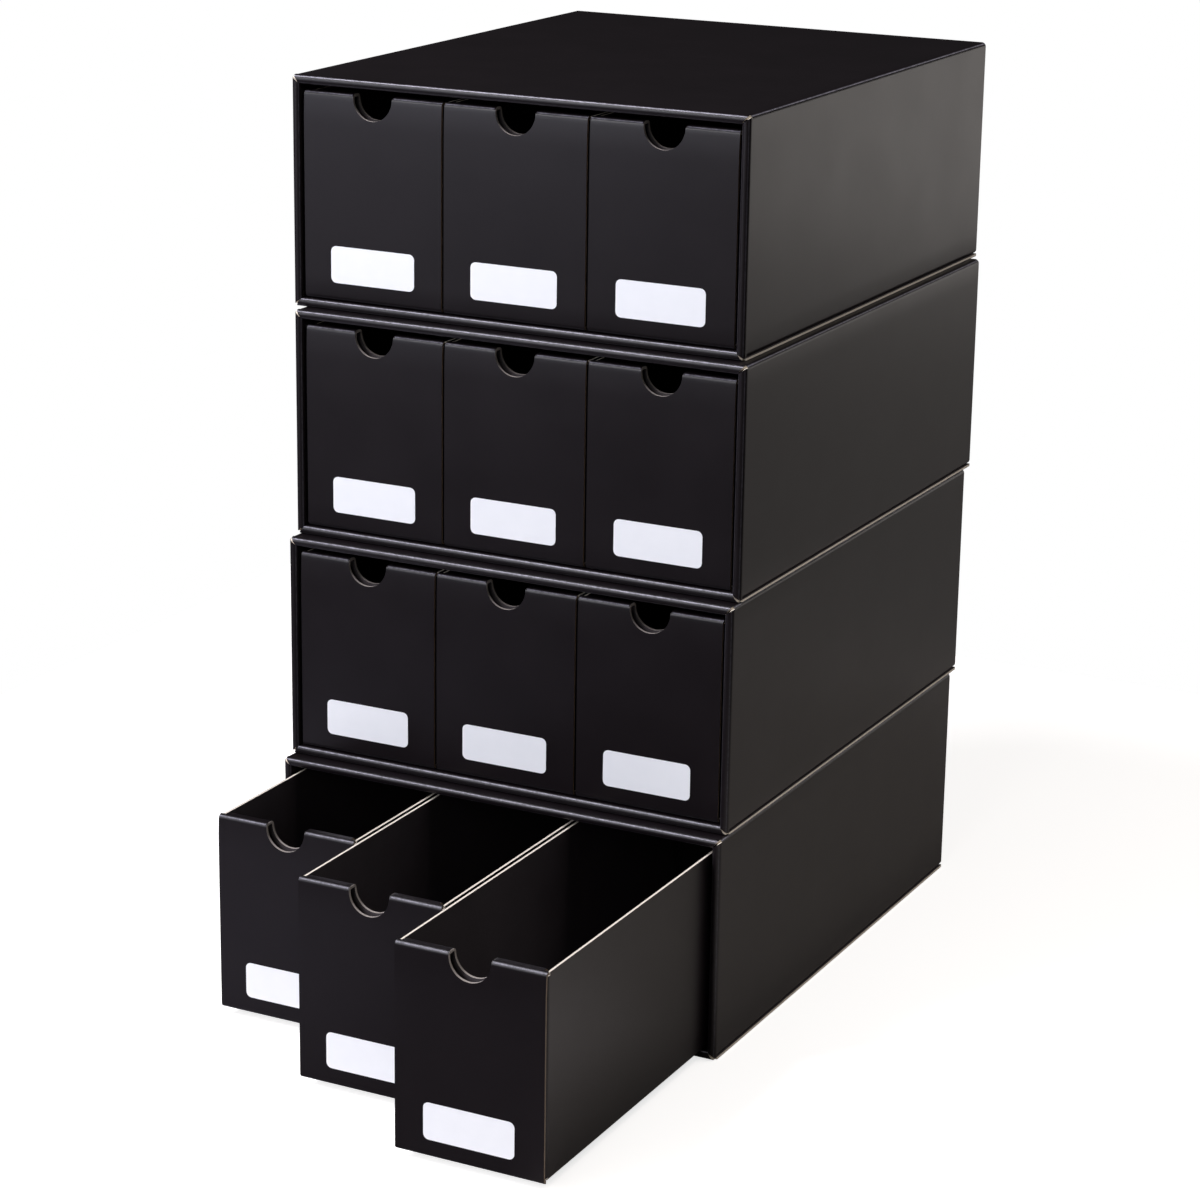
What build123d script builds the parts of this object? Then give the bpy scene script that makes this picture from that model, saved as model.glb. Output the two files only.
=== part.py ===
from build123d import *
import os

# Four folded-board cases stacked on each other, each with three drawers for upright cards.
# All sizes are millimetres. The origin is the middle of the bottom case's underside.
# +X points to the right, the drawers open towards -Y and +Z is up.

# Counts
case_count = 4
drawer_places = ("left", "middle", "right")

# Board
board = 1.5                     # thickness of the laminated board
fold_radius = 2.4               # outside radius of a single fold
tuck_play = 0.3                 # spare room around a flap that is tucked between two plies
joint_overlap = 1.5             # how far two panels of one blank run into each other

# Drawer
drawer_width = 81.8
drawer_length = 312.0
drawer_height = 109.0
drawer_roll = 8.0               # thickness of a rolled end, outer face to inner face
side_wall_drop = 1.0            # the side walls end this far below the rolled front
tuck_flap_length = 28.0
notch_width = 23.0
notch_straight = 1.8            # straight sides above the notch's half-round
notch_mouth_radius = 0.5
lock_tab_width = 17.0
lock_tab_spacing = 42.0

# Label
label_width = 50.0
label_height = 19.5
label_corner = 3.0
label_thickness = 0.2
label_rise = 9.5                # from the drawer's underside to the label's lower edge

# Case
drawer_side_gap = 1.6           # between two drawers, and between a drawer and the lining
drawer_floor_gap = 0.3
drawer_head_gap = 3.1
drawer_rear_gap = 1.0
front_recess = 2.0              # a closed drawer's front lies this far behind the rim
mitre_slot = 0.8                # open slot between two rolled walls at a rim corner
glue_flap_length = 15.0
glue_line = 0.1
rear_flange_length = 20.0
rear_panel_inset = 0.5
lining_end_gap = 1.0
corner_fullness = 0.1           # the rim's corners stand this much fuller than the long folds

# Stack as it stands
stack_setback = 8.0             # each case stands this much further back than the one below
top_case_side_shift = -5.0      # the top case also stands this far to the side
pull_outs = (76.0, 131.0, 178.0)    # bottom drawers, left to right

# Sizes that follow
fold_line_radius = fold_radius - board / 2
rolled_wall = 3 * board + tuck_play         # a case wall: wrap, lining and the room between them
roll_line_radius = (rolled_wall - board) / 2
drawer_pitch = drawer_width + drawer_side_gap
drawer_count = len(drawer_places)
inner_width = drawer_count * drawer_pitch + drawer_side_gap
inner_height = drawer_floor_gap + drawer_height + drawer_head_gap
case_width = inner_width + 2 * rolled_wall
case_height = inner_height + 2 * rolled_wall
case_depth = front_recess + drawer_length + drawer_rear_gap + board + rear_panel_inset
rim_front = -case_depth / 2
tray_front = -drawer_length / 2
tuck_line = board + tuck_play / 2 + board / 2       # from the outer face to a tucked flap's middle
corner_depth = tuck_line + fold_line_radius         # from the outer face to the straight side wall
ply_half_width = drawer_width / 2 - fold_radius - tuck_play


def fold_line(points, radii):
    """The middle line of a folded board, each square corner rounded by its own radius."""
    places = [Vector(*point) for point in points]
    pieces = []
    start = places[0]
    for before, corner, after, radius in zip(places, places[1:], places[2:], radii):
        arriving = (corner - before).normalized()
        leaving = (after - corner).normalized()
        bend_start = corner - arriving * radius
        bend_end = corner + leaving * radius
        if (bend_start - start).length > board / 100:
            pieces.append(Line(start, bend_start))
        pieces.append(TangentArc(bend_start, bend_end, tangent=arriving))
        start = bend_end
    pieces.append(Line(start, places[-1]))
    return Wire([edge for piece in pieces for edge in piece.edges()])


def folded_board(points, radii, width, across):
    """A strip of board that follows the fold line; across is the direction of its width."""
    line = fold_line(points, radii)
    start = Plane(origin=points[0], x_dir=across, z_dir=line % 0)
    return sweep(start * Rectangle(width, board), path=line)


def block(x_range, y_range, z_range):
    """A square-edged block between two values on each axis."""
    sizes = [high - low for low, high in (x_range, y_range, z_range)]
    middle = [(low + high) / 2 for low, high in (x_range, y_range, z_range)]
    return Pos(*middle) * Box(*sizes)


# Drawer tray: one blank, folded up into a floor, two side walls and two rolled ends.

def tray_floor_and_sides():
    side = drawer_width / 2 - board / 2
    top = drawer_height - side_wall_drop
    points = [(-side, 0, top), (-side, 0, board / 2), (side, 0, board / 2), (side, 0, top)]
    straight = drawer_length - 2 * corner_depth
    return folded_board(points, [fold_line_radius] * 2, straight, (0, 1, 0))


def tucked_corner(side_sign):
    """The front end of a side wall, folded in between the plies of the rolled end."""
    side = side_sign * (drawer_width / 2 - board / 2)
    flap_end = side_sign * (drawer_width / 2 - tuck_flap_length)
    low = fold_radius
    high = drawer_height - fold_radius - tuck_play
    middle = (low + high) / 2
    points = [
        (side, tray_front + corner_depth + joint_overlap, middle),
        (side, tray_front + tuck_line, middle),
        (flap_end, tray_front + tuck_line, middle),
    ]
    return folded_board(points, [fold_line_radius], high - low, (0, 0, 1))


def rolled_ply():
    """Floor edge, outer ply, flat top and inner ply in one strip, with the corners relieved."""
    outer = tray_front + board / 2
    inner = tray_front + drawer_roll - board / 2
    points = [
        (0, tray_front + corner_depth + joint_overlap, board / 2),
        (0, outer, board / 2),
        (0, outer, drawer_height - board / 2),
        (0, inner, drawer_height - board / 2),
        (0, inner, board + tuck_play),
    ]
    strip = folded_board(points, [fold_line_radius] * 3, drawer_width, (1, 0, 0))
    edge = drawer_width / 2
    behind_fold = (tray_front + fold_radius, tray_front + drawer_roll + joint_overlap)
    for x_range, x_inner in (((-edge, fold_radius - edge), (-edge, -ply_half_width)),
                             ((edge - fold_radius, edge), (ply_half_width, edge))):
        strip -= block(x_range, behind_fold, (0, fold_radius))
        strip -= block(x_inner, behind_fold, (board, drawer_height))
    return strip


def lock_tab_places():
    inner = tray_front + drawer_roll - board / 2
    return [(-lock_tab_spacing / 2, inner), (lock_tab_spacing / 2, inner)]


def tray_end():
    """One rolled end with its tucked corners, before the notch and the lock tabs."""
    return rolled_ply() + tucked_corner(-1) + tucked_corner(1)


def thumb_notch():
    """Cutter for the half-round notch through every ply of the front."""
    radius = notch_width / 2
    flare = 2 * notch_mouth_radius
    mouth = Pos(0, flare / 2) * Rectangle(notch_width + 2 * flare, flare)
    slot = Pos(0, -notch_straight / 2) * Rectangle(notch_width, notch_straight)
    outline = mouth + slot + Pos(0, -notch_straight) * Circle(radius)
    lips = outline.vertices().filter_by(lambda v: abs(v.Y) < board / 100 and abs(v.X) < radius + board / 100)
    outline = fillet(lips, notch_mouth_radius)
    front = Plane(origin=(0, tray_front - board, drawer_height), x_dir=(1, 0, 0), z_dir=(0, -1, 0))
    return extrude(front * outline, -(drawer_roll + 2 * board))


def tray():
    turn = Rot(0, 0, 180)
    body = tray_floor_and_sides() + (tray_end() - thumb_notch()) + turn * tray_end()
    for x, y in lock_tab_places():
        slot = Pos(x, y, board / 2) * Box(lock_tab_width + tuck_play, board + tuck_play, board)
        body -= [slot, turn * slot]
    for x, y in lock_tab_places():
        tab_height = 2 * board
        tab = Pos(x, y, tuck_play + tab_height / 2) * Box(lock_tab_width, board, tab_height)
        body += [tab, turn * tab]
    return body


def label():
    face = Plane(origin=(0, tray_front, label_rise + label_height / 2), x_dir=(1, 0, 0), z_dir=(0, -1, 0))
    return extrude(face * RectangleRounded(label_width, label_height, label_corner), label_thickness)


# Case: a wrapped sleeve whose four walls roll over at the front and run back as the lining.

def sleeve_wrap():
    """The outer walls, from the raw lower right edge around to the glue flap above it."""
    right = case_width / 2
    left = -case_width / 2 + board / 2
    low = board / 2
    high = case_height - board / 2
    flap = 3 * board / 2 + glue_line
    front = rim_front + rolled_wall / 2
    middle = (front - rim_front) / 2
    points = [
        (right, middle, low),
        (left, middle, low),
        (left, middle, high),
        (right - board / 2, middle, high),
        (right - board / 2, middle, flap),
        (right - glue_flap_length, middle, flap),
    ]
    wrap = folded_board(points, [fold_line_radius] * 4, case_depth - rolled_wall / 2, (0, 1, 0))
    flap_x = (right - glue_flap_length - board, right - fold_radius)
    flap_z = (board + glue_line / 2, rolled_wall)
    flap_end = -rim_front - rear_panel_inset - rear_flange_length - 2 * board
    wrap -= block(flap_x, (rim_front, front + 2 * board), flap_z)
    wrap -= block(flap_x, (flap_end, -rim_front + board), flap_z)
    return wrap


def mitred_outline(length, offset):
    """Outline of one wall seen from the front: mitred ends with rounded outer corners."""
    beyond = board
    low = rolled_wall + beyond
    corner = length / 2 - mitre_slot * 2 ** 0.5 / 2
    outline = Polygon(
        (-corner - beyond, offset + beyond),
        (corner + beyond, offset + beyond),
        (corner - low, offset - low),
        (low - corner, offset - low),
        align=None,
    )
    reach = fold_radius + beyond + board
    for side in (-1, 1):
        centre = Pos(side * (length / 2 - fold_radius + corner_fullness), offset - fold_radius + corner_fullness)
        square = centre * Pos(side * reach / 2, reach / 2) * Rectangle(reach, reach)
        outline -= square - centre * Circle(fold_radius)
    return outline


def rolled_case_wall(length, offset):
    """A wall's rolled rim and lining, drawn as the top wall."""
    outer = offset - board / 2
    inner = offset - rolled_wall + board / 2
    nose = rim_front + board / 2
    lining_end = -rim_front - rear_panel_inset - board - lining_end_gap
    points = [
        (0, rim_front + rolled_wall / 2 + joint_overlap, outer),
        (0, nose, outer),
        (0, nose, inner),
        (0, lining_end, inner),
    ]
    wall = folded_board(points, [roll_line_radius] * 2, length, (1, 0, 0))
    outline = Plane.XZ * mitred_outline(length, offset)
    return wall & extrude(outline, case_depth / 2 + board, both=True)


def sleeve():
    half_width = case_width / 2
    half_height = case_height / 2
    body = sleeve_wrap()
    for turn, length, offset in (
        (0, case_width, half_height),
        (90, case_height, half_width),
        (180, case_width, half_height),
        (270, case_height, half_width),
    ):
        body += Pos(0, 0, half_height) * Rot(0, turn, 0) * rolled_case_wall(length, offset)
    return body


def rear_panel():
    """The folded pan that closes the rear, its flanges glued between wrap and lining."""
    play = board + tuck_play / 2
    width = case_width - 2 * play
    height = case_height - 2 * play
    plate = -rim_front - rear_panel_inset - board / 2
    flange_end = -rim_front - rear_panel_inset - rear_flange_length
    middle = case_height / 2
    side = width / 2 - board / 2
    low = play + board / 2
    high = case_height - low
    upright = [(0, flange_end, high), (0, plate, high), (0, plate, low), (0, flange_end, low)]
    level = [(-side, flange_end, middle), (-side, plate, middle), (side, plate, middle),
             (side, flange_end, middle)]
    bends = [fold_line_radius] * 2
    pan = folded_board(upright, bends, width - 2 * fold_radius, (1, 0, 0))
    return pan + folded_board(level, bends, height - 2 * fold_radius, (0, 0, 1))


def save(shape, node):
    export_step(shape, f"parts/{node}.step")


def build():
    os.makedirs("parts", exist_ok=True)
    sleeve_shape = sleeve()
    rear_panel_shape = rear_panel()
    tray_shape = tray()
    label_shape = label()
    tray_rest = Pos(0, rim_front + front_recess - tray_front, rolled_wall + drawer_floor_gap)
    for level in range(case_count):
        side_shift = top_case_side_shift if level == case_count - 1 else 0
        case_place = Pos(side_shift, level * stack_setback, level * case_height)
        save(case_place * sleeve_shape, f"case_{level + 1}_sleeve")
        save(case_place * rear_panel_shape, f"case_{level + 1}_rear_panel")
        for column, place in enumerate(drawer_places):
            across = (column - (drawer_count - 1) / 2) * drawer_pitch
            pull = pull_outs[column] if level == 0 else 0
            drawer_place = case_place * Pos(across, -pull, 0) * tray_rest
            save(drawer_place * tray_shape, f"drawer_{level + 1}_{place}_tray")
            save(drawer_place * label_shape, f"drawer_{level + 1}_{place}_label")


build()
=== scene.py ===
"""Stack of black folded-board cases with card drawers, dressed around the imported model."""
import math
import bmesh
import bpy
from mathutils import Matrix, Vector


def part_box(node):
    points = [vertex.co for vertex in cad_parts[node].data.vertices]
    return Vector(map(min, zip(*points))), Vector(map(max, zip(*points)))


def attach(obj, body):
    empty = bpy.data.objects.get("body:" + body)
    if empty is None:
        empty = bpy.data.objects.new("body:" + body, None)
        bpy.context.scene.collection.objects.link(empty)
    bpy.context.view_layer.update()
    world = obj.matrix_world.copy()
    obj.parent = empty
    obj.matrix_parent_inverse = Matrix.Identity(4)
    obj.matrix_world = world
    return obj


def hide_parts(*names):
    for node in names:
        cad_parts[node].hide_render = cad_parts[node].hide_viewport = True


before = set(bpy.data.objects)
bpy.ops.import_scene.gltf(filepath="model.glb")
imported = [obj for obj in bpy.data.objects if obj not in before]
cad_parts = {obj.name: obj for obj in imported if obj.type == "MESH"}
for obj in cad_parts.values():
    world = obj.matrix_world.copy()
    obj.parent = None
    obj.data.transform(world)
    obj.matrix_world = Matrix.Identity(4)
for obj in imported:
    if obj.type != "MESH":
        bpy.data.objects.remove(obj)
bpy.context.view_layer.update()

MM = 0.001

# Board and folds, as the blanks are cut and creased
board = 1.5 * MM
fold_radius = 2.4 * MM                  # outside radius of a single fold
tuck_play = 0.3 * MM                    # spare room around a tucked flap
fold_line_radius = fold_radius - board / 2
rolled_wall = 3 * board + tuck_play     # two plies with a tucked flap between them
roll_line_radius = (rolled_wall - board) / 2
roll_crown = 0.3 * MM                   # flat strip at the crown of a rolled rim
width_step = 0.3 * MM                   # length over which a strip changes its width

# Drawer
drawer_roll = 8.0 * MM                  # thickness of a rolled end, outer face to inner face
side_wall_drop = 1.0 * MM
tuck_flap_length = 28.0 * MM
notch_width = 23.0 * MM
notch_straight = 1.8 * MM
notch_mouth_radius = 0.5 * MM
lock_tab_width = 17.0 * MM
lock_tab_spacing = 42.0 * MM
label_corner = 3.0 * MM

# Case
mitre_slot = 0.8 * MM
glue_flap_length = 15.0 * MM
glue_line = 0.1 * MM
rear_flange_length = 20.0 * MM
rear_panel_inset = 0.5 * MM
lining_end_gap = 1.0 * MM
seam_back = 1.0 * MM                    # how far behind a roll or a fold the next strip takes over

# Handling
front_bow = (               # how a drawer front leans: how far below its top, and how far back
    (34.0 * MM, 0.0),
    (10.0 * MM, 0.12 * MM),
    (0.0, 0.7 * MM),
)
bow_radius = 250.0 * MM
edge_trim = 0.01 * MM       # keeps a cut end inside the CAD's box when a dent tilts it
dent_depth = 0.1 * MM
dent_size = 110.0 * MM
least_press = 0.05          # share of the dent depth that is pressed in everywhere

# How fine the meshes are
fold_steps = 8
panel_step = 11.0 * MM
steps_across = 24
tab_steps_across = 3
notch_steps = 24
lip_steps = 3
label_columns, label_rows = 51, 21
merge_distance = board / 1000
sharp_angle = math.radians(38)

# Sizes that the frame gives
drawer_places = ("left", "middle", "right")
case_count = sum(1 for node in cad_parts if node.endswith("_sleeve"))


def size_and_foot(node):
    """A node's size, and the middle of its underside."""
    low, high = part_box(node)
    return high - low, Vector(((low.x + high.x) / 2, (low.y + high.y) / 2, low.z))


case_size, _ = size_and_foot("case_1_sleeve")
drawer_size, drawer_foot = size_and_foot("drawer_1_left_tray")
label_size, label_foot = size_and_foot("drawer_1_left_label")
rim_front = -case_size.y / 2
tray_front = -drawer_size.y / 2
tuck_line = board + tuck_play / 2 + board / 2
corner_depth = tuck_line + fold_line_radius
ply_half_width = drawer_size.x / 2 - fold_radius - tuck_play

ALONG_X, ALONG_Y, ALONG_Z = Vector((1, 0, 0)), Vector((0, 1, 0)), Vector((0, 0, 1))


# Node helpers

def add(tree, kind, sockets=None, **settings):
    """One node: settings are its properties, sockets its inputs, each a value, a node or an output."""
    node = tree.nodes.new(kind)
    for name, value in settings.items():
        setattr(node, name, value)
    for name, value in (sockets or {}).items():
        if isinstance(value, bpy.types.Node):
            value = next(output for output in value.outputs if output.enabled)
        if isinstance(value, bpy.types.NodeSocket):
            tree.links.new(value, node.inputs[name])
        else:
            node.inputs[name].default_value = value
    return node


def math_node(tree, operation, first, second=0.0):
    return add(tree, "ShaderNodeMath", {0: first, 1: second}, operation=operation)


def geometry_tree(name, inputs):
    """An empty Geometry Nodes tree with a geometry input and the named inputs."""
    tree = bpy.data.node_groups.new(name, "GeometryNodeTree")
    tree.interface.new_socket("Geometry", in_out="INPUT", socket_type="NodeSocketGeometry")
    tree.interface.new_socket("Geometry", in_out="OUTPUT", socket_type="NodeSocketGeometry")
    for label, kind, value in inputs:
        socket = tree.interface.new_socket(label, in_out="INPUT", socket_type="NodeSocket" + kind)
        if value is not None:
            socket.default_value = value
    return tree, tree.nodes.new("NodeGroupInput"), tree.nodes.new("NodeGroupOutput")


def attribute(tree, name, kind="FLOAT"):
    return add(tree, "GeometryNodeInputNamedAttribute", {"Name": name}, data_type=kind)


def at_neighbour(tree, value, offset, kind="FLOAT"):
    """The value at the fold line's point that is offset points further on."""
    point = add(tree, "GeometryNodeOffsetPointInCurve", {"Offset": offset})
    return add(tree, "GeometryNodeFieldAtIndex", {"Value": value, "Index": point.outputs["Point Index"]},
               data_type=kind)


def dented(tree, geometry, depth, size, seed):
    """Presses shallow dents into a sheet, against its normals."""
    noise = add(tree, "ShaderNodeTexNoise",
                {"Scale": math_node(tree, "DIVIDE", 1.0, size), "W": seed, "Detail": 1.0, "Roughness": 0.4},
                noise_dimensions="4D")
    press = add(tree, "ShaderNodeMapRange",
                {"Value": noise, "From Min": 0.3, "From Max": 0.7, "To Min": least_press})
    push = math_node(tree, "MULTIPLY", math_node(tree, "MULTIPLY", press, depth), -1.0)
    offset = add(tree, "ShaderNodeVectorMath", {0: add(tree, "GeometryNodeInputNormal"), "Scale": push},
                 operation="SCALE")
    return add(tree, "GeometryNodeSetPosition", {"Geometry": geometry, "Offset": offset})


def raised(tree, geometry, distance):
    """Moves a sheet along its normals."""
    offset = add(tree, "ShaderNodeVectorMath",
                 {0: add(tree, "GeometryNodeInputNormal"), "Scale": distance}, operation="SCALE")
    return add(tree, "GeometryNodeSetPosition", {"Geometry": geometry, "Offset": offset})


def marked(tree, geometry, name, value, kind="BOOLEAN", domain="FACE"):
    """Stores a value on the geometry as a named attribute."""
    return add(tree, "GeometryNodeStoreNamedAttribute",
               {"Geometry": geometry, "Name": name, "Value": value}, data_type=kind, domain=domain)


def thickened(tree, sheet, thickness):
    """Gives a sheet its thickness outwards, closed all round, and marks its cut edges and its inner side.
    The ply attribute runs from 0 on the inner side to 1 on the outer side."""
    extruded = add(tree, "GeometryNodeExtrudeMesh",
                   {"Mesh": sheet, "Offset Scale": thickness, "Individual": False})
    outer = marked(tree, extruded.outputs["Mesh"], "cut_edge", extruded.outputs["Side"])
    outer = marked(tree, outer, "ply", extruded.outputs["Top"], "FLOAT", "POINT")
    inner = marked(tree, add(tree, "GeometryNodeFlipFaces", {"Mesh": sheet}), "inner_side", True)
    both = add(tree, "GeometryNodeJoinGeometry")
    tree.links.new(outer.outputs[0], both.inputs[0])
    tree.links.new(inner.outputs[0], both.inputs[0])
    return add(tree, "GeometryNodeMergeByDistance", {"Geometry": both, "Distance": merge_distance})


def finished(tree, geometry, face_finish, inner_finish, edge_finish):
    """Realizes the geometry and gives its outer side, inner side and cut edges their materials."""
    real = add(tree, "GeometryNodeRealizeInstances", {"Geometry": geometry})
    dressed = add(tree, "GeometryNodeSetMaterial", {"Geometry": real, "Material": face_finish})
    for name, finish in (("inner_side", inner_finish), ("cut_edge", edge_finish)):
        chosen = attribute(tree, name, "BOOLEAN")
        dressed = add(tree, "GeometryNodeSetMaterial",
                      {"Geometry": dressed, "Selection": chosen, "Material": finish})
    return dressed


def folded_board_tree():
    """A width of board swept along its fold line: rounded folds, dents, thickness and raw edges.
    The fold attribute rises from 0 on a flat panel to 1 on the crown of a fold."""
    tree, given, made = geometry_tree("Folded board", [
        ("Board", "Float", board),
        ("Fold steps", "Int", fold_steps),
        ("Panel step", "Float", panel_step),
        ("Steps across", "Int", steps_across),
        ("Dent depth", "Float", dent_depth),
        ("Dent size", "Float", dent_size),
        ("Seed", "Float", 0.0),
        ("Face finish", "Material", None),
        ("Inner finish", "Material", None),
        ("Edge finish", "Material", None),
    ])
    given_as = given.outputs
    line = add(tree, "GeometryNodeMeshToCurve", {"Mesh": given_as["Geometry"]})
    rounded = add(tree, "GeometryNodeFilletCurve",
                  {"Curve": line, "Count": given_as["Fold steps"], "Radius": attribute(tree, "fold_radius"),
                   "Limit Radius": True}, mode="POLY")
    length = add(tree, "GeometryNodeSplineParameter").outputs["Length"]
    gap = math_node(tree, "SUBTRACT", at_neighbour(tree, length, 1), length)
    cuts = math_node(tree, "FLOOR", math_node(tree, "DIVIDE", gap, given_as["Panel step"]))
    stepped = add(tree, "GeometryNodeSubdivideCurve", {"Curve": rounded, "Cuts": cuts})
    tangent = add(tree, "GeometryNodeInputTangent")
    run = add(tree, "ShaderNodeVectorMath", {0: tangent}, operation="ABSOLUTE")
    part = add(tree, "ShaderNodeSeparateXYZ", {"Vector": run}).outputs
    along = math_node(tree, "MAXIMUM", math_node(tree, "MAXIMUM", part["X"], part["Y"]), part["Z"])
    crown = add(tree, "ShaderNodeMapRange",
                {"Value": along, "From Min": 1.0, "From Max": math.sqrt(0.5)})
    creased = marked(tree, stepped, "fold", crown.outputs["Result"], "FLOAT", "POINT")
    turned = add(tree, "GeometryNodeSetCurveNormal",
                 {"Curve": creased, "Normal": attribute(tree, "across", "FLOAT_VECTOR")}, mode="FREE")
    taper = add(tree, "ShaderNodeVectorMath",
                {0: attribute(tree, "taper", "FLOAT_VECTOR"), 1: add(tree, "GeometryNodeInputPosition")},
                operation="DOT_PRODUCT").outputs["Value"]
    half_width = math_node(tree, "ADD", attribute(tree, "half_width"), taper)
    edge_to_edge = add(tree, "GeometryNodeCurvePrimitiveLine",
                       {"Start": (-1, 0, 0), "End": (1, 0, 0)})
    profile = add(tree, "GeometryNodeResampleCurve",
                  {"Curve": edge_to_edge, "Count": given_as["Steps across"]})
    sheet = add(tree, "GeometryNodeCurveToMesh",
                {"Curve": turned, "Profile Curve": profile, "Scale": half_width})
    pressed = dented(tree, sheet, given_as["Dent depth"], given_as["Dent size"], given_as["Seed"])
    lowered = raised(tree, pressed, math_node(tree, "MULTIPLY", given_as["Board"], -0.5))
    thick = thickened(tree, lowered, given_as["Board"])
    dressed = finished(tree, thick, given_as["Face finish"], given_as["Inner finish"],
                       given_as["Edge finish"])
    tree.links.new(dressed.outputs[0], made.inputs[0])
    return tree


def make(name, tree, mesh, values, cutter=None):
    """The mesh that a tree makes of a start mesh, with the tree's inputs set by their names."""
    work = bpy.data.objects.new(name, mesh)
    bpy.context.scene.collection.objects.link(work)
    modifier = work.modifiers.new(tree.name, "NODES")
    modifier.node_group = tree
    for item in tree.interface.items_tree:
        if item.in_out == "INPUT" and item.name in values:
            modifier[item.identifier] = values[item.name]
    if cutter:
        cut = work.modifiers.new("Cut", "BOOLEAN")
        cut.object = cutter
        cut.solver = "EXACT"
        cut.material_mode = "TRANSFER"
    bpy.context.view_layer.update()
    evaluated = work.evaluated_get(bpy.context.evaluated_depsgraph_get())
    result = bpy.data.meshes.new_from_object(evaluated)
    work.modifiers.clear()
    bpy.data.objects.remove(work)
    return result


def fold_line_mesh(points, across, taper):
    """The fold line that a board follows. Each point gives its place, fold radius and half width."""
    mesh = bpy.data.meshes.new("fold_line")
    mesh.from_pydata([place for place, _, _ in points], [(i, i + 1) for i in range(len(points) - 1)], [])
    radii = mesh.attributes.new("fold_radius", "FLOAT", "POINT")
    widths = mesh.attributes.new("half_width", "FLOAT", "POINT")
    radii.data.foreach_set("value", [radius for _, radius, _ in points])
    widths.data.foreach_set("value", [half for _, _, half in points])
    for name, vector in (("across", across), ("taper", taper)):
        values = mesh.attributes.new(name, "FLOAT_VECTOR", "POINT")
        values.data.foreach_set("vector", list(vector) * len(points))
    return mesh


def folded(points, across, seed, taper=(0, 0, 0), edge=None, cutter=None, steps=steps_across):
    """One width of board along its fold line, with the face turned to across x the line's run."""
    values = {"Seed": seed, "Steps across": steps, "Face finish": black_laminate,
              "Inner finish": black_paper, "Edge finish": edge or raw_edge}
    return make("folded", board_tree, fold_line_mesh(points, across, taper), values, cutter)


def piece(name, meshes, place, body, node):
    """Joins folded boards into one piece at its place, riding on its body instead of the CAD node."""
    shape = bmesh.new()
    finishes = []
    for mesh in meshes:
        first = len(shape.faces)
        shape.from_mesh(mesh)
        shape.faces.ensure_lookup_table()
        for material in mesh.materials:
            if material not in finishes:
                finishes.append(material)
        slots = [finishes.index(material) for material in mesh.materials]
        for face in shape.faces[first:]:
            face.material_index = slots[face.material_index]
            face.smooth = True
    bmesh.ops.translate(shape, verts=shape.verts, vec=place)
    joined = bpy.data.meshes.new(name)
    shape.to_mesh(joined)
    shape.free()
    for material in finishes:
        joined.materials.append(material)
    joined.set_sharp_from_angle(angle=sharp_angle)
    item = bpy.data.objects.new(name, joined)
    bpy.context.scene.collection.objects.link(item)
    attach(item, body)
    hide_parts(node)
    return item


# Materials

def material_tree(name):
    """A material, its node tree and its shader, with the object's own coordinates ready."""
    material = bpy.data.materials.new(name)
    material.use_nodes = True
    tree = material.node_tree
    place = add(tree, "ShaderNodeTexCoord").outputs["Object"]
    return material, tree, tree.nodes["Principled BSDF"], place


def noise_at(tree, place, grain, detail=2.0, roughness=0.5):
    """Noise whose grain is a length in metres."""
    return add(tree, "ShaderNodeTexNoise",
               {"Vector": place, "Scale": 1.0 / grain, "Detail": detail, "Roughness": roughness})


def mix_colours(tree, share, first, second):
    return add(tree, "ShaderNodeMix", {0: share, 6: first, 7: second}, data_type="RGBA").outputs[2]


def spread(tree, value, low, high, to_low=0.0, to_high=1.0):
    return add(tree, "ShaderNodeMapRange",
               {"Value": value, "From Min": low, "From Max": high, "To Min": to_low, "To Max": to_high})


def make_black_laminate():
    """Satin black film over board: fine film grain, soft handling marks, and a painted highlight, a pale
    line along the crowns of folds, strongest where they face up.
    """
    material, tree, shader, place = material_tree("black_laminate")
    film_grain, handling_grain, highlight_break_grain = 0.55 * MM, 38.0 * MM, 2.2 * MM
    dark_film, light_film = (0.0054, 0.0038, 0.0047, 1), (0.0084, 0.0060, 0.0073, 1)
    # painted highlight: pale lavender laid on fold crowns in place of the lamps' glint
    painted_highlight_colour = (0.58, 0.56, 0.66, 1)
    crown_narrowing = 4.0       # the higher, the thinner the painted highlight along a fold
    film = noise_at(tree, place, film_grain, 3.0)
    facing = add(tree, "ShaderNodeSeparateXYZ", {0: add(tree, "ShaderNodeTexCoord").outputs["Normal"]})
    # painted highlight is kept mostly to folds that face up, where the light falls from above
    lit_from_above = spread(tree, facing.outputs["Z"], 0.2, 0.6, 0.12, 1.0)
    handling = noise_at(tree, place, handling_grain, 4.0, 0.6)
    highlight_break = noise_at(tree, place, highlight_break_grain, 3.0, 0.7)
    fold = add(tree, "ShaderNodeAttribute", attribute_name="fold").outputs["Fac"]
    crown = math_node(tree, "POWER", fold, crown_narrowing)
    lit_crown = math_node(tree, "MULTIPLY", crown, lit_from_above)
    # painted highlight on the crowns, broken up by noise along the fold
    painted_highlight = math_node(tree, "MULTIPLY", lit_crown, spread(tree, highlight_break, 0.35, 0.65, 0.35, 1.0))
    plain = mix_colours(tree, handling, dark_film, light_film)
    colour = mix_colours(tree, math_node(tree, "MULTIPLY", painted_highlight, 0.85), plain, painted_highlight_colour)
    tree.links.new(colour, shader.inputs["Base Color"])
    satin = spread(tree, handling, 0.3, 0.7, 0.325, 0.355)
    rough = math_node(tree, "ADD", satin, math_node(tree, "MULTIPLY", painted_highlight, 0.1))
    tree.links.new(rough.outputs[0], shader.inputs["Roughness"])
    shader.inputs["Specular IOR Level"].default_value = 0.24
    bump = add(tree, "ShaderNodeBump", {"Height": film, "Strength": 0.18, "Distance": 0.03 * MM})
    tree.links.new(bump.outputs[0], shader.inputs["Normal"])
    return material


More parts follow.
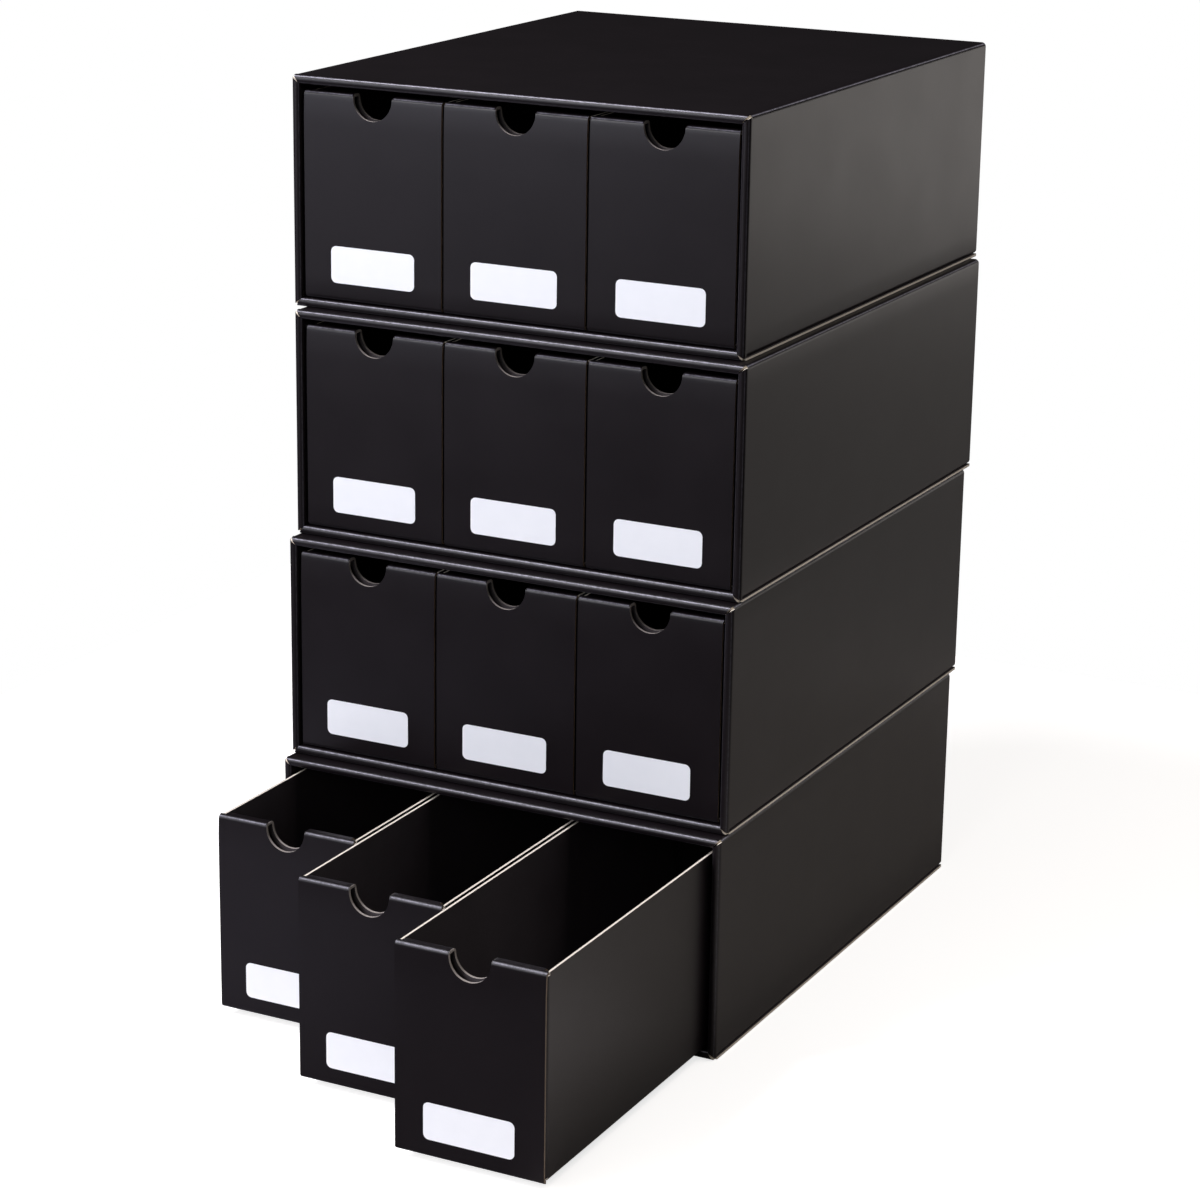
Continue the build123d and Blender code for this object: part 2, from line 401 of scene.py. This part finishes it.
def make_black_paper():
    """Uncoated black paper on the board's inner side, with short fibres."""
    material, tree, shader, place = material_tree("black_paper")
    fibre_grain, cloud_grain = 0.6 * MM, 25.0 * MM
    dark_paper, light_paper = (0.044, 0.036, 0.040, 1), (0.062, 0.052, 0.056, 1)
    loose_fibre = (0.075, 0.068, 0.07, 1)
    fibres = noise_at(tree, place, fibre_grain, 5.0, 0.7)
    cloud = noise_at(tree, place, cloud_grain, 3.0)
    plain = mix_colours(tree, cloud, dark_paper, light_paper)
    colour = mix_colours(tree, spread(tree, fibres, 0.55, 0.75, 0.0, 0.35), plain, loose_fibre)
    tree.links.new(colour, shader.inputs["Base Color"])
    rough = spread(tree, fibres, 0.3, 0.7, 0.62, 0.82)
    tree.links.new(rough.outputs[0], shader.inputs["Roughness"])
    shader.inputs["Specular IOR Level"].default_value = 0.3
    bump = add(tree, "ShaderNodeBump", {"Height": fibres, "Strength": 0.35, "Distance": 0.05 * MM})
    tree.links.new(bump.outputs[0], shader.inputs["Normal"])
    return material


def make_cut_edge(name, dark, pale, fleck, covered=0.0):
    """Cut edge of the board: pulp between two tones, with fibres, darker flecks and the black film that
    the knife drags over a share of the pulp from both sides."""
    material, tree, shader, place = material_tree(name)
    fibre_grain, fleck_grain = 0.7 * MM, 0.25 * MM
    dragged_film = (0.012, 0.009, 0.010, 1)
    fibres = noise_at(tree, place, fibre_grain, 5.0, 0.65)
    flecks = noise_at(tree, place, fleck_grain, 2.0, 0.5)
    pulp = mix_colours(tree, fibres, dark, pale)
    flecked = mix_colours(tree, spread(tree, flecks, 0.62, 0.75), pulp, fleck)
    ply = add(tree, "ShaderNodeAttribute", attribute_name="ply").outputs["Fac"]
    from_middle = math_node(tree, "ABSOLUTE", math_node(tree, "SUBTRACT", ply, 0.5))
    film = spread(tree, from_middle, 0.5 - covered, 0.5 - covered / 2) if covered else 0.0
    colour = mix_colours(tree, film, flecked, dragged_film)
    tree.links.new(colour, shader.inputs["Base Color"])
    shader.inputs["Roughness"].default_value = 0.9
    shader.inputs["Specular IOR Level"].default_value = 0.2
    bump = add(tree, "ShaderNodeBump", {"Height": fibres, "Strength": 0.5, "Distance": 0.08 * MM})
    tree.links.new(bump.outputs[0], shader.inputs["Normal"])
    return material


def make_label_paper():
    """Smooth white sticker paper with a faint tooth."""
    material, tree, shader, place = material_tree("label_paper")
    tooth_grain, cloud_grain = 0.35 * MM, 9.0 * MM
    shaded_white, clear_white = (0.86, 0.875, 0.91, 1), (0.90, 0.91, 0.94, 1)
    tooth = noise_at(tree, place, tooth_grain, 4.0, 0.6)
    cloud = noise_at(tree, place, cloud_grain, 2.0)
    colour = mix_colours(tree, cloud, shaded_white, clear_white)
    tree.links.new(colour, shader.inputs["Base Color"])
    rough = spread(tree, tooth, 0.3, 0.7, 0.42, 0.55)
    tree.links.new(rough.outputs[0], shader.inputs["Roughness"])
    bump = add(tree, "ShaderNodeBump", {"Height": tooth, "Strength": 0.12, "Distance": 0.02 * MM})
    tree.links.new(bump.outputs[0], shader.inputs["Normal"])
    return material


# Drawer

def notch_cutter():
    """The half-round thumb notch with rounded lips, as a cutter for the rolled front."""
    radius = notch_width / 2
    outline = []
    for step in range(notch_steps + 1):
        angle = math.pi + math.pi * step / notch_steps
        outline.append((radius * math.cos(angle), radius * math.sin(angle) - notch_straight))
    for side in (1, -1):
        lip = []
        for step in range(lip_steps + 1):
            angle = math.pi / 2 * step / lip_steps
            lip.append((side * (radius + notch_mouth_radius * (1 - math.cos(angle))),
                        notch_mouth_radius * (math.sin(angle) - 1)))
        above = (side * (radius + notch_mouth_radius), board)
        outline += lip + [above] if side == 1 else [above] + lip[::-1]
    shape = bmesh.new()
    front_y, back_y = tray_front - board, tray_front + drawer_roll + board
    face = shape.faces.new([shape.verts.new((x, front_y, drawer_size.z + z)) for x, z in outline])
    sides = bmesh.ops.extrude_face_region(shape, geom=[face])["geom"]
    moved = [part for part in sides if isinstance(part, bmesh.types.BMVert)]
    bmesh.ops.translate(shape, verts=moved, vec=(0, back_y - front_y, 0))
    bmesh.ops.recalc_face_normals(shape, faces=shape.faces)
    mesh = bpy.data.meshes.new("thumb_notch")
    shape.to_mesh(mesh)
    shape.free()
    mesh.materials.append(notch_edge)
    cutter = bpy.data.objects.new("thumb_notch", mesh)
    bpy.context.scene.collection.objects.link(cutter)
    return cutter


def tray_floor_and_sides(seed):
    side = drawer_size.x / 2 - board / 2
    top = drawer_size.z - side_wall_drop
    half = drawer_size.y / 2 - corner_depth - seam_back
    points = [((-side, 0, top), 0, half), ((-side, 0, board / 2), fold_line_radius, half),
              ((side, 0, board / 2), fold_line_radius, half), ((side, 0, top), 0, half)]
    return folded(points, ALONG_Y, seed)


def rolled_end(turn, seed, cutter=None):
    """Floor edge, bowed outer ply, flat top and inner ply of one end of the tray."""
    outer = tray_front + board / 2
    inner = tray_front + drawer_roll - board / 2
    top = drawer_size.z - board / 2
    full = drawer_size.x / 2
    relieved = full - fold_radius
    past_fold = fold_radius + width_step / 2
    lean = front_bow[-1][1]
    bowed = [((0, outer + back, top - below), bow_radius, full)
             for below, back in front_bow[:-1]]
    points = [
        ((0, tray_front + corner_depth + seam_back, board / 2), 0, relieved),
        ((0, tray_front + past_fold + width_step, board / 2), 0, relieved),
        ((0, tray_front + past_fold, board / 2), 0, full),
        ((0, outer, board / 2), fold_line_radius, full),
        *bowed,
        ((0, outer + lean, top), fold_line_radius, full),
        ((0, tray_front + past_fold + lean, top), 0, full),
        ((0, tray_front + past_fold + lean + width_step, top), 0, ply_half_width),
        ((0, inner, top), fold_line_radius, ply_half_width),
        ((0, inner, board + tuck_play), 0, ply_half_width),
    ]
    points = [(turn @ Vector(place), radius, half) for place, radius, half in points]
    # the side edges of a rolled end take the darker cut edge, partly painted shade for the gaps between
    # drawers
    return folded(points, turn @ ALONG_X, seed, edge=gap_shaded_edge, cutter=cutter)


def tucked_corner(side_sign, turn, seed):
    """The end of a side wall, folded in between the plies of a rolled end."""
    side = side_sign * (drawer_size.x / 2 - board / 2)
    flap_end = side_sign * (drawer_size.x / 2 - tuck_flap_length)
    low = fold_radius
    high = drawer_size.z - fold_radius - tuck_play
    middle, half = (low + high) / 2, (high - low) / 2
    points = [
        ((side, tray_front + corner_depth + seam_back, middle), 0, half),
        ((side, tray_front + tuck_line, middle), fold_line_radius, half),
        ((flap_end, tray_front + tuck_line, middle), 0, half),
    ]
    points = [(turn @ Vector(place), radius, half) for place, radius, half in points]
    return folded(points, ALONG_Z * side_sign, seed)


def lock_tab(x, turn, seed):
    inner = tray_front + drawer_roll - board / 2
    half = lock_tab_width / 2
    points = [(turn @ Vector((x, inner, z)), 0, half) for z in (2 * board, tuck_play)]
    return folded(points, turn @ ALONG_X, seed, steps=tab_steps_across)


def make_tray(name, seed, notch):
    """One folded blank: floor, side walls, rolled ends, tucked corners and lock tabs."""
    _, foot = size_and_foot(name)
    front, rear = Matrix.Identity(3), Matrix.Rotation(math.pi, 3, "Z")
    boards = [tray_floor_and_sides(seed), rolled_end(front, seed, notch), rolled_end(rear, seed)]
    for turn in (front, rear):
        boards += [tucked_corner(side, turn, seed) for side in (-1, 1)]
        boards += [lock_tab(side * lock_tab_spacing / 2, turn, seed) for side in (-1, 1)]
    return piece(name + "_board", boards, foot, name.removesuffix("_tray"), name)


def label_tree():
    """A sticker with rounded corners that lies on the dented front."""
    tree, given, made = geometry_tree("Label", [
        ("Width", "Float", label_size.x),
        ("Height", "Float", label_size.z),
        ("Corner radius", "Float", label_corner),
        ("Thickness", "Float", label_size.y),
        ("Centre", "Vector", None),
        ("Stand off", "Float", board / 2),
        ("Dent depth", "Float", dent_depth),
        ("Dent size", "Float", dent_size),
        ("Seed", "Float", 0.0),
        ("Finish", "Material", None),
    ])
    given_as = given.outputs
    grid = add(tree, "GeometryNodeMeshGrid",
               {"Size X": given_as["Width"], "Size Y": given_as["Height"],
                "Vertices X": label_columns, "Vertices Y": label_rows})
    half = add(tree, "ShaderNodeCombineXYZ", {
        "X": math_node(tree, "SUBTRACT", math_node(tree, "MULTIPLY", given_as["Width"], 0.5),
                       given_as["Corner radius"]),
        "Y": math_node(tree, "SUBTRACT", math_node(tree, "MULTIPLY", given_as["Height"], 0.5),
                       given_as["Corner radius"])})
    here = add(tree, "GeometryNodeInputPosition")
    least = add(tree, "ShaderNodeVectorMath", {0: half, "Scale": -1.0}, operation="SCALE")
    inside = add(tree, "ShaderNodeVectorMath",
                 {0: add(tree, "ShaderNodeVectorMath", {0: here, 1: least}, operation="MAXIMUM"), 1: half},
                 operation="MINIMUM")
    reach = add(tree, "ShaderNodeVectorMath", {0: here, 1: inside}, operation="SUBTRACT")
    far = add(tree, "ShaderNodeVectorMath", {0: reach}, operation="LENGTH").outputs["Value"]
    shrink = math_node(tree, "MINIMUM", 1.0, math_node(tree, "DIVIDE", given_as["Corner radius"], far))
    pulled = add(tree, "ShaderNodeVectorMath", {0: reach, "Scale": shrink}, operation="SCALE")
    place = add(tree, "ShaderNodeVectorMath", {0: inside, 1: pulled}, operation="ADD")
    rounded = add(tree, "GeometryNodeSetPosition", {"Geometry": grid, "Position": place})
    upright = add(tree, "GeometryNodeTransform",
                  {"Geometry": rounded, "Translation": given_as["Centre"], "Rotation": (math.pi / 2, 0, 0)})
    pressed = dented(tree, upright, given_as["Dent depth"], given_as["Dent size"], given_as["Seed"])
    seated = raised(tree, pressed, given_as["Stand off"])
    dressed = finished(tree, thickened(tree, seated, given_as["Thickness"]), *[given_as["Finish"]] * 3)
    tree.links.new(dressed.outputs[0], made.inputs[0])
    return tree


def make_label(name, seed):
    drawer = name.removesuffix("_label")
    _, foot = size_and_foot(drawer + "_tray")
    centre = (0, tray_front + board / 2, label_foot.z - drawer_foot.z + label_size.z / 2)
    mesh = make("label", sticker_tree, bpy.data.meshes.new("label"),
                {"Centre": centre, "Seed": seed, "Finish": label_paper})
    return piece(name + "_paper", [mesh], foot, drawer, name)


# Case

def sleeve_wrap(seed):
    """The outer walls, from the raw lower right edge around to the glue flap above it."""
    right = case_size.x / 2 - edge_trim
    left = -case_size.x / 2 + board / 2
    low = board / 2
    high = case_size.z - board / 2
    flap = 3 * board / 2 + glue_line
    front = rim_front + rolled_wall / 2 + seam_back
    middle, half = (front - rim_front) / 2, (-rim_front - front) / 2 - edge_trim
    places = [(right, low), (left, low), (left, high), (right - board / 2, high),
              (right - board / 2, flap)]
    points = [((x, middle, z), fold_line_radius, half) for x, z in places]
    flap_half = half - rear_flange_length / 2 - board
    flap_middle = middle - rear_flange_length / 2
    points.append(((right - fold_radius, middle, flap), 0, half))
    return [folded(points, -ALONG_Y, seed),
            folded([((right - fold_radius, flap_middle, flap), 0, flap_half),
                    ((right - glue_flap_length, flap_middle, flap), 0, flap_half)], -ALONG_Y, seed)]


def rolled_case_wall(turn, length, offset, seed):
    """One wall's rolled rim and the lining behind it, with mitred ends."""
    centre = Vector((0, 0, case_size.z / 2))
    outward = turn @ ALONG_Z
    reach = length / 2 - mitre_slot * 2 ** 0.5 / 2
    half = reach - offset - outward.dot(centre)
    outer = offset - board / 2
    inner = offset - rolled_wall + board / 2
    nose = rim_front + board / 2
    lining_end = -rim_front - rear_panel_inset - board - lining_end_gap
    crown = roll_line_radius - roll_crown / 2
    places = [((0, rim_front + rolled_wall / 2 + seam_back, outer), 0), ((0, nose, outer), crown),
              ((0, nose, inner), crown), ((0, lining_end, inner), 0)]
    points = [(turn @ Vector(place) + centre, radius, half) for place, radius in places]
    return folded(points, turn @ -ALONG_X, seed, taper=outward)


def make_sleeve(name, seed):
    _, foot = size_and_foot(name)
    boards = sleeve_wrap(seed)
    walls = ((case_size.x, case_size.z / 2), (case_size.z, case_size.x / 2)) * 2
    for quarter, (length, offset) in enumerate(walls):
        turn = Matrix.Rotation(quarter * math.pi / 2, 3, "Y")
        boards.append(rolled_case_wall(turn, length, offset, seed))
    return piece(name + "_board", boards, foot, name.removesuffix("_sleeve"), name)


def make_rear_panel(name, foot, seed):
    """The folded pan that closes the rear, its flanges between wrap and lining."""
    play = board + tuck_play / 2
    width = case_size.x - 2 * play
    height = case_size.z - 2 * play
    plate = -rim_front - rear_panel_inset - board / 2
    flange_end = -rim_front - rear_panel_inset - rear_flange_length
    side = width / 2 - board / 2
    low, high = play + board / 2, case_size.z - play - board / 2
    joint = width / 2 - fold_radius - seam_back
    places = [(flange_end, high), (plate, high), (plate, low), (flange_end, low)]
    boards = [folded([((0, y, z), fold_line_radius, joint) for y, z in places], ALONG_X, seed)]
    half = height / 2 - fold_radius
    for sign in (-1, 1):
        points = [((sign * side, flange_end, case_size.z / 2), 0, half),
                  ((sign * side, plate, case_size.z / 2), fold_line_radius, half),
                  ((sign * joint, plate, case_size.z / 2), 0, half)]
        boards.append(folded(points, ALONG_Z * -sign, seed))
    return piece(name + "_board", boards, foot, name.removesuffix("_rear_panel"), name)


# Studio

def make_floor():
    """Pale sweep under the stack: white to the camera, and it keeps the object's shadow. What satin
    board mirrors of it is darker in front of the drawers than beside the cases."""
    half_span = 0.55
    own_light = 0.74            # for the camera alone, so that the lit sweep reads white
    sweep = (0.8, 0.77, 0.74, 1)
    mirrored_left, mirrored_front = (0.44, 0.43, 0.50, 1), (0.11, 0.10, 0.11, 1)
    mirrored_beside = (0.85, 0.79, 0.74, 1)
    material, tree, shader, place = material_tree("pale_floor")
    mesh = bpy.data.meshes.new("floor")
    corners = [(x * half_span, y * half_span, 0) for x, y in ((-1, -1), (1, -1), (1, 1), (-1, 1))]
    mesh.from_pydata(corners, [], [(0, 1, 2, 3)])
    ray = add(tree, "ShaderNodeLightPath").outputs
    across = add(tree, "ShaderNodeSeparateXYZ", {0: place}).outputs["X"]
    beside = spread(tree, across, 0.10, 0.16, 0.0, 1.0)
    before = spread(tree, across, -0.16, 0.0, 0.0, 1.0)
    in_front = mix_colours(tree, before, mirrored_left, mirrored_front)
    around = mix_colours(tree, beside, in_front, mirrored_beside)
    mirrored = mix_colours(tree, ray["Is Glossy Ray"], sweep, around)
    tree.links.new(mirrored, shader.inputs["Base Color"])
    shader.inputs["Roughness"].default_value = 0.9
    glow = add(tree, "ShaderNodeEmission",
               {"Color": (1, 1, 1, 1),
                "Strength": math_node(tree, "MULTIPLY", ray["Is Camera Ray"], own_light)})
    both = add(tree, "ShaderNodeAddShader", {0: shader, 1: glow})
    tree.links.new(both.outputs[0], tree.nodes["Material Output"].inputs["Surface"])
    floor = bpy.data.objects.new("floor", mesh)
    mesh.materials.append(material)
    bpy.context.scene.collection.objects.link(floor)


def make_world():
    """White behind the stack for the camera, and nearly dark for everything else."""
    world = bpy.data.worlds.new("studio")
    bpy.context.scene.world = world
    world.use_nodes = True
    tree = world.node_tree
    back = tree.nodes["Background"]
    seen = add(tree, "ShaderNodeLightPath").outputs["Is Camera Ray"]
    back.inputs["Color"].default_value = (1, 1, 1, 1)
    strength = spread(tree, seen, 0.0, 1.0, 0.02, 1.0)
    tree.links.new(strength.outputs[0], back.inputs["Strength"])


def softbox(name, place, target, size, watts, tint):
    """A rectangular lamp that looks from its place to its target."""
    light = bpy.data.lights.new(name, "AREA")
    light.color = tint
    light.shape = "RECTANGLE"
    light.size, light.size_y = size
    light.energy = watts
    lamp = bpy.data.objects.new(name, light)
    lamp.location = place
    lamp.rotation_euler = (Vector(target) - Vector(place)).to_track_quat("-Z", "Y").to_euler()
    bpy.context.scene.collection.objects.link(lamp)


def make_camera():
    """The photograph's viewpoint, fitted to the corners of the cases and drawers."""
    azimuth, elevation, roll = (math.radians(angle) for angle in (26.95, 16.89, 0.84))
    distance = 1719.1 * MM
    target = Vector((60.3 * MM, rim_front, 239.8 * MM))
    lens_per_frame, sensor = 2.8252, 36.0
    forward = Vector((-math.sin(azimuth) * math.cos(elevation), math.cos(azimuth) * math.cos(elevation),
                      -math.sin(elevation)))
    level = Vector((math.cos(azimuth), math.sin(azimuth), 0))
    rise = level.cross(forward)
    right = level * math.cos(roll) + rise * math.sin(roll)
    up = right.cross(forward)
    data = bpy.data.cameras.new("camera")
    data.sensor_width = sensor
    data.lens = lens_per_frame * sensor
    camera = bpy.data.objects.new("camera", data)
    camera.rotation_mode = "QUATERNION"
    camera.rotation_quaternion = Matrix((right, up, -forward)).transposed().to_quaternion()
    camera.location = target - forward * distance
    bpy.context.scene.collection.objects.link(camera)
    bpy.context.scene.camera = camera


black_laminate = make_black_laminate()
raw_edge = make_cut_edge("raw_edge", dark=(0.74, 0.65, 0.53, 1), pale=(0.93, 0.87, 0.78, 1),
                         fleck=(0.45, 0.36, 0.26, 1), covered=0.16)
notch_edge = make_cut_edge("notch_edge", dark=(0.26, 0.23, 0.21, 1), pale=(0.42, 0.38, 0.35, 1),
                           fleck=(0.12, 0.10, 0.09, 1))
black_paper = make_black_paper()
# darker cut edge for the rolled drawer ends: partly the edge's own darker tan, partly painted shade for the
# narrow gaps between closed drawers
gap_shaded_edge = make_cut_edge("gap_shaded_edge", dark=(0.16, 0.12, 0.09, 1), pale=(0.28, 0.22, 0.16, 1),
                            fleck=(0.06, 0.045, 0.035, 1), covered=0.2)
label_paper = make_label_paper()
board_tree = folded_board_tree()
sticker_tree = label_tree()
notch = notch_cutter()

for level in range(1, case_count + 1):
    sleeve_name = f"case_{level}_sleeve"
    _, case_foot = size_and_foot(sleeve_name)
    make_sleeve(sleeve_name, level)
    make_rear_panel(f"case_{level}_rear_panel", case_foot, level)
    for column, drawer_place in enumerate(drawer_places):
        drawer = f"drawer_{level}_{drawer_place}"
        drawer_seed = 10 * level + column
        make_tray(drawer + "_tray", drawer_seed, notch)
        make_label(drawer + "_label", drawer_seed)
bpy.data.objects.remove(notch)

make_floor()
make_world()
lamps = {       # place, target, size, watts and tint
    "front": ((-0.2, -2.3, 1.15), (0, -0.1, 0.25), (1.6, 1.2), 16.5, (1.0, 1.0, 1.0)),
    "upper_left": ((-0.75, -1.35, 1.25), (0, -0.1, 0.3), (0.4, 0.4), 12, (0.95, 0.94, 1.0)),
    "sheen": ((-0.75, -1.45, 0.67), (0, -0.1, 0.42), (0.7, 0.46), 5, (0.84, 0.86, 1.0)),
    "overhead": ((-0.55, -0.45, 1.5), (0, -0.1, 0.3), (0.4, 0.2), 14, (0.93, 0.92, 1.0)),
    "over_right": ((0.9, 0.2, 1.6), (0.3, 0, 0), (0.8, 0.8), 8, (1.0, 0.96, 0.93)),
    "rear_right": ((0.75, 1.35, 0.36), (0.13, 0, 0.4), (0.8, 0.5), 1.9, (1.0, 0.94, 0.90)),
    "low_right": ((0.75, 1.35, -0.2), (0.13, 0, 0.2), (0.8, 0.55), 0.45, (1.0, 0.93, 0.88)),
    "front_left": ((-0.95, -1.15, 0.3), (0, -0.1, 0.2), (0.9, 0.5), 1.6, (0.86, 0.86, 1.0)),
}
for lamp_name, setting in lamps.items():
    softbox(lamp_name, *setting)
make_camera()

bpy.context.scene.view_settings.view_transform = "Standard"
